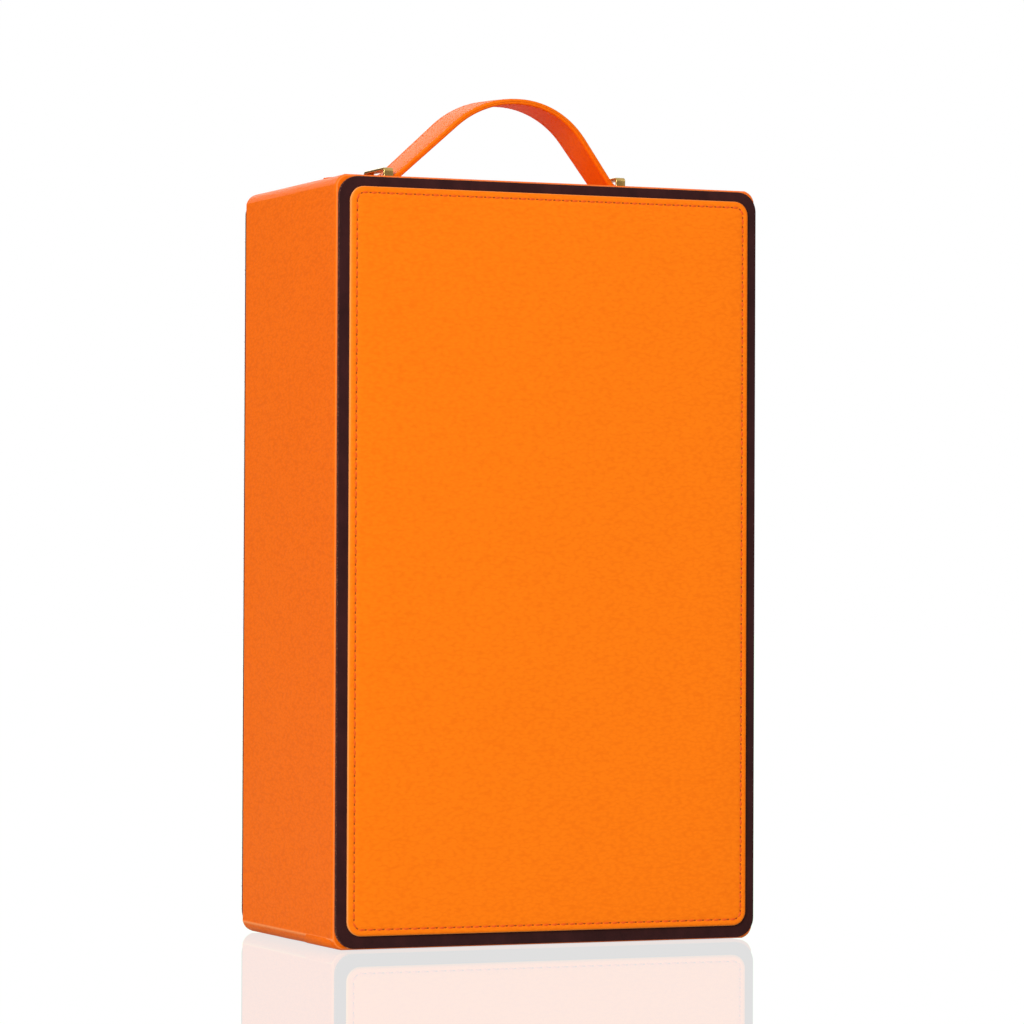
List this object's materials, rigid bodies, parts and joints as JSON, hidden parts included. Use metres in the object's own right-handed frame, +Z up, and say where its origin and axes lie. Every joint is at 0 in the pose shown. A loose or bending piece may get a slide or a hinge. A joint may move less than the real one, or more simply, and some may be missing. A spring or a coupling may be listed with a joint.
{
  "type": "wine case",
  "caption": "Upright leather-covered case for wine bottles, with a hinged front door, padded bottle beds, neck rests and a strap handle.",
  "frame": {"origin": "middle of the case's footprint, at the underside of its base pad", "axes": "+Z up, +Y towards the back, so the door faces -Y; +X to the right of someone who faces the door"},
  "size_m": [0.2224, 0.137, 0.4164],
  "materials": {
    "wrap_leather": "pebbled orange imitation leather, satin",
    "panel_leather": "pebbled orange imitation leather, satin, with a stitched border",
    "strap_leather": "smooth orange imitation leather, satin",
    "dark_suede": "dark brown suede board, matt",
    "lining_suede": "brown suede cloth, matt",
    "base_felt": "thin dark felt",
    "fibreboard": "plain fibreboard",
    "brass": "polished and lacquered",
    "steel": "nickel plated",
    "stiffener": "plain bonded strip"
  },
  "bodies": {
    "case": {"body_wrap": "wrap_leather", "back_panel": "panel_leather", "back_board": "dark_suede", "left_lining": "lining_suede", "right_lining": "lining_suede", "top_lining": "lining_suede", "bottom_lining": "lining_suede", "back_lining": "lining_suede", "bay_divider": "lining_suede", "left_bottle_bed": "lining_suede", "right_bottle_bed": "lining_suede", "left_neck_rest": "lining_suede", "right_neck_rest": "lining_suede", "base_pad": "base_felt", "left_wall": "fibreboard", "right_wall": "fibreboard", "top_wall": "fibreboard", "bottom_wall": "fibreboard", "back_core": "fibreboard", "left_loop": "brass", "right_loop": "brass", "upper_hinge_case_leaf": "brass", "lower_hinge_case_leaf": "brass", "hinge_pins": "brass", "hinge_screws": "brass", "loop_plates": "steel", "closing_magnets": "steel"},
    "door": {"door_board": "dark_suede", "door_panel": "panel_leather", "door_lining": "lining_suede", "left_neck_pad": "lining_suede", "right_neck_pad": "lining_suede", "upper_hinge_door_leaf": "brass", "lower_hinge_door_leaf": "brass", "hinge_rivets": "brass", "strike_discs": "steel"},
    "handle": {"handle_outer": "strap_leather", "handle_core": "stiffener", "handle_lining": "strap_leather"}
  },
  "joints": [
    {"name": "door_hinge", "type": "hinge", "parent": "case", "child": "door", "pos_m": [0.11065, -0.0633, 0.185], "axis": [0, 0, 1], "range_deg": [0, 180]},
    {"name": "handle_lift", "type": "slide", "parent": "case", "child": "handle", "axis": [0, 0, 1], "range_m": [0, 0.0008]}
  ]
}
